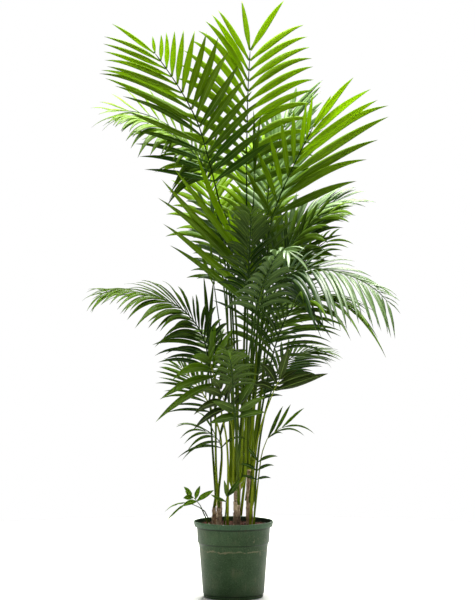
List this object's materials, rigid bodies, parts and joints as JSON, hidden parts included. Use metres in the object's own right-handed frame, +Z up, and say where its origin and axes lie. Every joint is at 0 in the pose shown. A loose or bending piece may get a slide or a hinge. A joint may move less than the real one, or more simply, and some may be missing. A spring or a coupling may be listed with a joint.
{
  "type": "potted palm",
  "caption": "Tall kentia palm in a tapered green plastic nursery pot: arching feather leaves on slender stalks rise from short fibrous canes set in soil.",
  "frame": {"origin": "middle of the pot's base, on the floor", "axes": "+Z up; -Y towards the side the plant is seen from, with its lowest arching leaves to the left (-X) and right (+X)"},
  "size_m": [1.0382, 1.0895, 2.0488],
  "materials": {
    "pot_plastic": "matte dark green moulded plastic, finely speckled, with dry soil marks",
    "soil_peat": "damp dark brown peat with bark pieces",
    "cane_fibre": "brown fibrous leaf sheaths",
    "leaf_bright": "young yellow-green leaf, satin",
    "leaf_deep": "mature deep green leaf, satin",
    "leaf_olive": "shaded olive green leaf, satin",
    "leaf_silver": "green leaf with a pale grey sheen"
  },
  "bodies": {
    "root": {"nursery_pot": "pot_plastic", "soil": "soil_peat", "cane_left": "cane_fibre", "cane_middle": "cane_fibre", "cane_right": "cane_fibre", "cane_far_left": "cane_fibre", "cane_back": "cane_fibre", "frond_top_centre": "leaf_bright", "frond_upper_left": "leaf_bright", "frond_upper_right": "leaf_bright", "frond_back_right": "leaf_silver", "frond_left_arch": "leaf_deep", "frond_mid_left": "leaf_bright", "frond_low_left": "leaf_deep", "frond_right_arch": "leaf_silver", "frond_right_low": "leaf_deep", "frond_right_mid": "leaf_deep", "frond_right_high": "leaf_silver", "frond_front_arch": "leaf_silver", "frond_back_left": "leaf_bright", "frond_back_mid": "leaf_deep", "frond_back_low": "leaf_deep", "frond_low_right_fan": "leaf_olive", "frond_low_right_spray": "leaf_deep", "frond_front_left_fan": "leaf_deep", "frond_front_mid_fan": "leaf_olive", "frond_front_dark_fan": "leaf_deep", "frond_left_lower": "leaf_deep", "frond_left_wisp": "leaf_bright", "frond_inner_left": "leaf_silver", "frond_inner_right": "leaf_deep", "frond_core_dark": "leaf_deep", "frond_core_left": "leaf_deep", "frond_core_right": "leaf_deep", "frond_front_low": "leaf_deep", "frond_back_high": "leaf_bright", "frond_back_side": "leaf_deep", "frond_front_mid": "leaf_deep", "frond_back_far": "leaf_deep", "frond_back_foot": "leaf_deep", "leaf_small_right": "leaf_deep", "leaf_small_left": "leaf_deep", "leaf_base_right": "leaf_deep", "seedling_left": "leaf_deep", "seedling_front": "leaf_deep", "seedling_long": "leaf_deep", "young_leaf_left": "leaf_deep", "spear_middle": "leaf_deep", "spear_tall": "leaf_bright"}
  },
  "joints": []
}
